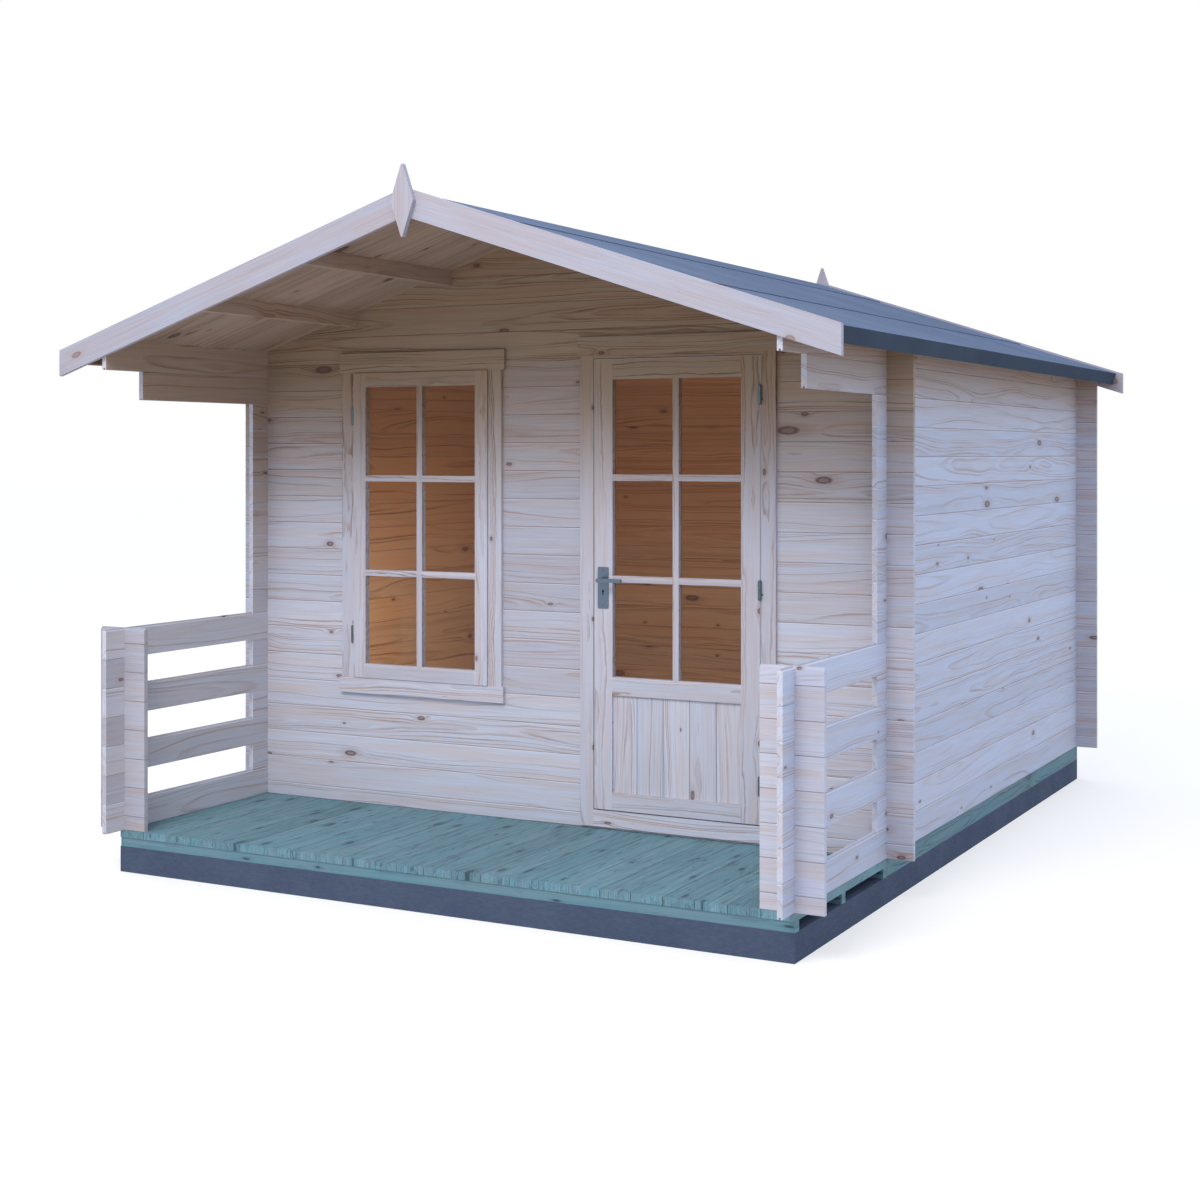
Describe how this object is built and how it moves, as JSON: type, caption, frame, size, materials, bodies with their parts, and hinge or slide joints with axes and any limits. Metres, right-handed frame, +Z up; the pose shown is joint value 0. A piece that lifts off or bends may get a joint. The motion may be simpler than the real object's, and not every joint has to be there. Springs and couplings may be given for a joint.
{
  "type": "log cabin",
  "caption": "Small garden log cabin with notched corners, an open porch under a gabled felt roof, a tall window and a half-glazed door that opens outwards.",
  "frame": {"origin": "centre of the plinth's underside", "axes": "+Z up, -Y towards the porch's open front, +X to the right seen from the front"},
  "size_m": [3.282, 4.162, 2.6882],
  "materials": {
    "pine": "sawn and planed, untreated",
    "treated_timber": "pressure treated, weathered",
    "masonry": "dark, rough",
    "felt": "bitumen roofing felt, mineral faced, matt",
    "fascia": "dark stained",
    "glass": "clear",
    "metal": "satin"
  },
  "bodies": {
    "cabin": {"plinth": "masonry", "bearers": "treated_timber", "deck_joists": "treated_timber", "deck_boards": "treated_timber", "floor_boards": "pine", "right_wall": "pine", "right_rails": "pine", "right_plates": "pine", "left_wall": "pine", "left_rails": "pine", "left_plates": "pine", "right_post": "pine", "left_post": "pine", "front_wall_base": "pine", "front_wall_left": "pine", "front_wall_middle": "pine", "front_wall_right": "pine", "front_gable": "pine", "back_wall": "pine", "back_gable": "pine", "window_frame": "pine", "window_trim": "pine", "window_sill": "pine", "window_sash": "pine", "window_glass": "glass", "window_hinges": "metal", "door_frame": "pine", "threshold": "pine", "door_trim": "pine", "frame_hinges": "metal", "purlins": "pine", "roof_boards_right": "pine", "roof_boards_left": "pine", "felt_right": "felt", "felt_left": "felt", "felt_ridge": "felt", "fascias": "fascia", "bargeboards": "pine", "finials": "pine"},
    "door": {"door_leaf": "pine", "door_panel": "pine", "door_glass": "glass", "leaf_hinges": "metal", "handle_plates": "metal"},
    "handle": {"levers": "metal"}
  },
  "joints": [
    {"name": "door_swing", "type": "hinge", "parent": "cabin", "child": "door", "pos_m": [0.9385, -1.0503, 1.1401], "axis": [0, 0, 1], "range_deg": [0, 110]},
    {"name": "lever_turn", "type": "hinge", "parent": "door", "child": "handle", "pos_m": [0.2635, -1.043, 1.159], "axis": [0, 1, 0], "range_deg": [0, 40], "stiffness_Nm_per_rad": 1.2, "springref_deg": -22.92}
  ]
}
